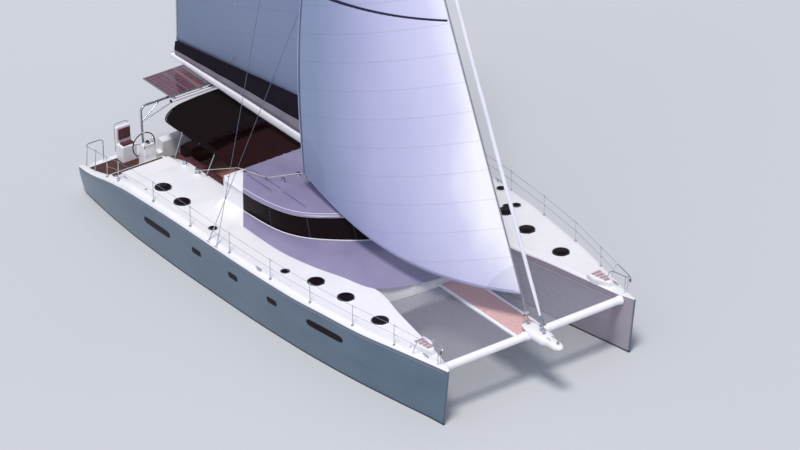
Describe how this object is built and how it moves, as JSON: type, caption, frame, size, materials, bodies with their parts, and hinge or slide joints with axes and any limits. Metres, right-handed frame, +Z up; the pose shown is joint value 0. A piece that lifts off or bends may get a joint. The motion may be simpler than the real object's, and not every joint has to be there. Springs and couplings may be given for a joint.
{
  "type": "sailing catamaran",
  "caption": "Cruising sailing catamaran with two hulls, bridgedeck saloon, shaded cockpit, forward nets, mast with set mainsail and headsail, swinging boom, rudders and propellers.",
  "frame": {"origin": "on the waterline, amidships on the centreline between the hulls", "axes": "+X towards the bows, +Y to port, +Z up"},
  "size_m": [19.58, 9.22, 24.1],
  "materials": {
    "gelcoat": "polished gelcoat over fibreglass",
    "antifouling": "matt bottom paint",
    "dark_acrylic": "smoked acrylic",
    "alloy": "anodised",
    "painted_alloy": "white two-part paint",
    "steel": "polished stainless",
    "bronze": "cast bronze",
    "cushion_cloth": "woven outdoor cloth",
    "awning_canvas": "woven acrylic canvas",
    "bag_canvas": "woven acrylic canvas",
    "sailcloth": "woven polyester sailcloth",
    "net_cord": "knotted polyester net",
    "teak": "oiled teak planks",
    "solar_cells": "glazed cells in a frame"
  },
  "bodies": {
    "root": {"hull_starboard": "gelcoat", "hull_port": "gelcoat", "keel_starboard": "antifouling", "keel_port": "antifouling", "saildrive_starboard": "alloy", "saildrive_port": "alloy", "bridgedeck": "gelcoat", "coachroof": "gelcoat", "saloon_windows": "dark_acrylic", "saloon_bulkhead": "gelcoat", "guard_rail_starboard": "steel", "guard_rail_port": "steel", "cockpit_benches": "gelcoat", "bench_cushion_starboard": "cushion_cloth", "bench_cushion_port": "cushion_cloth", "bench_cushion_aft": "cushion_cloth", "cockpit_table": "teak", "helm_console_starboard": "gelcoat", "helm_console_port": "gelcoat", "helm_seat_starboard": "gelcoat", "helm_seat_port": "gelcoat", "awning_frame": "steel", "awning": "awning_canvas", "stern_arch": "alloy", "solar_panels": "solar_cells", "crossbeam": "painted_alloy", "walkway": "teak", "sprit": "gelcoat", "net_starboard": "net_cord", "net_port": "net_cord", "mast": "painted_alloy", "cap_shroud_low_starboard": "steel", "cap_shroud_low_port": "steel", "cap_shroud_high_starboard": "steel", "cap_shroud_high_port": "steel", "lower_shroud_starboard": "steel", "lower_shroud_port": "steel", "forestay_inner": "alloy", "forestay_outer": "sailcloth", "genoa": "sailcloth"},
    "boom": {"boom": "painted_alloy", "sail_bag": "bag_canvas", "mainsail": "sailcloth"},
    "rudder_starboard": {"rudder_starboard": "antifouling"},
    "rudder_port": {"rudder_port": "antifouling"},
    "propeller_starboard": {"propeller_starboard": "bronze"},
    "propeller_port": {"propeller_port": "bronze"},
    "wheel_starboard": {"steering_wheel_starboard": "steel"},
    "wheel_port": {"steering_wheel_port": "steel"},
    "saloon_door": {"saloon_door": "alloy"},
    "hatch_aft_starboard": {"hatch_aft_starboard": "dark_acrylic"},
    "hatch_quarter_starboard": {"hatch_quarter_starboard": "dark_acrylic"},
    "hatch_middle_starboard": {"hatch_middle_starboard": "dark_acrylic"},
    "hatch_fore_starboard": {"hatch_fore_starboard": "dark_acrylic"},
    "hatch_bow_starboard": {"hatch_bow_starboard": "dark_acrylic"},
    "hatch_aft_port": {"hatch_aft_port": "dark_acrylic"},
    "hatch_quarter_port": {"hatch_quarter_port": "dark_acrylic"},
    "hatch_middle_port": {"hatch_middle_port": "dark_acrylic"},
    "hatch_fore_port": {"hatch_fore_port": "dark_acrylic"},
    "hatch_bow_port": {"hatch_bow_port": "dark_acrylic"}
  },
  "joints": [
    {"name": "boom_swing", "type": "hinge", "parent": "root", "child": "boom", "pos_m": [-0.255, 0, 3.2], "axis": [0, 0, 1], "range_deg": [-55, 55]},
    {"name": "rudder_turn_starboard", "type": "hinge", "parent": "root", "child": "rudder_starboard", "pos_m": [-7.75, -3.375, -0.4], "axis": [0, 0, 1], "range_deg": [-35, 35]},
    {"name": "rudder_turn_port", "type": "hinge", "parent": "root", "child": "rudder_port", "pos_m": [-7.75, 3.375, -0.4], "axis": [0, 0, 1], "range_deg": [-35, 35]},
    {"name": "wheel_turn_starboard", "type": "hinge", "parent": "root", "child": "wheel_starboard", "pos_m": [-7.455, -2.72, 1.88], "axis": [1, 0, 0], "range_deg": [-350, 350]},
    {"name": "wheel_turn_port", "type": "hinge", "parent": "root", "child": "wheel_port", "pos_m": [-7.455, 2.72, 1.88], "axis": [1, 0, 0], "range_deg": [-350, 350]},
    {"name": "propeller_spin_starboard", "type": "hinge", "parent": "root", "child": "propeller_starboard", "pos_m": [-6.145, -3.375, -0.95], "axis": [1, 0, 0], "continuous": true},
    {"name": "propeller_spin_port", "type": "hinge", "parent": "root", "child": "propeller_port", "pos_m": [-6.145, 3.375, -0.95], "axis": [1, 0, 0], "continuous": true},
    {"name": "door_slide", "type": "slide", "parent": "root", "child": "saloon_door", "axis": [0, 1, 0], "range_m": [0, 0.95]},
    {"name": "hatch_aft_starboard_lift", "type": "hinge", "parent": "root", "child": "hatch_aft_starboard", "pos_m": [-4.527, -3.83, 1.9723], "axis": [0, 1, 0], "range_deg": [0, 85]},
    {"name": "hatch_quarter_starboard_lift", "type": "hinge", "parent": "root", "child": "hatch_quarter_starboard", "pos_m": [-3.447, -3.88, 1.9723], "axis": [0, 1, 0], "range_deg": [0, 85]},
    {"name": "hatch_middle_starboard_lift", "type": "hinge", "parent": "root", "child": "hatch_middle_starboard", "pos_m": [2.823, -3.46, 1.9723], "axis": [0, 1, 0], "range_deg": [0, 85]},
    {"name": "hatch_fore_starboard_lift", "type": "hinge", "parent": "root", "child": "hatch_fore_starboard", "pos_m": [4.083, -3.3, 1.9723], "axis": [0, 1, 0], "range_deg": [0, 85]},
    {"name": "hatch_bow_starboard_lift", "type": "hinge", "parent": "root", "child": "hatch_bow_starboard", "pos_m": [5.753, -3.29, 1.9723], "axis": [0, 1, 0], "range_deg": [0, 85]},
    {"name": "hatch_aft_port_lift", "type": "hinge", "parent": "root", "child": "hatch_aft_port", "pos_m": [-4.527, 3.83, 1.9723], "axis": [0, 1, 0], "range_deg": [0, 85]},
    {"name": "hatch_quarter_port_lift", "type": "hinge", "parent": "root", "child": "hatch_quarter_port", "pos_m": [-3.447, 3.88, 1.9723], "axis": [0, 1, 0], "range_deg": [0, 85]},
    {"name": "hatch_middle_port_lift", "type": "hinge", "parent": "root", "child": "hatch_middle_port", "pos_m": [2.823, 3.46, 1.9723], "axis": [0, 1, 0], "range_deg": [0, 85]},
    {"name": "hatch_fore_port_lift", "type": "hinge", "parent": "root", "child": "hatch_fore_port", "pos_m": [4.083, 3.3, 1.9723], "axis": [0, 1, 0], "range_deg": [0, 85]},
    {"name": "hatch_bow_port_lift", "type": "hinge", "parent": "root", "child": "hatch_bow_port", "pos_m": [5.753, 3.29, 1.9723], "axis": [0, 1, 0], "range_deg": [0, 85]}
  ],
  "couplings": [
    {"joint": "rudder_turn_port", "follows": "rudder_turn_starboard", "ratio": 1},
    {"joint": "wheel_turn_starboard", "follows": "rudder_turn_starboard", "ratio": 10},
    {"joint": "wheel_turn_port", "follows": "rudder_turn_starboard", "ratio": 10}
  ]
}
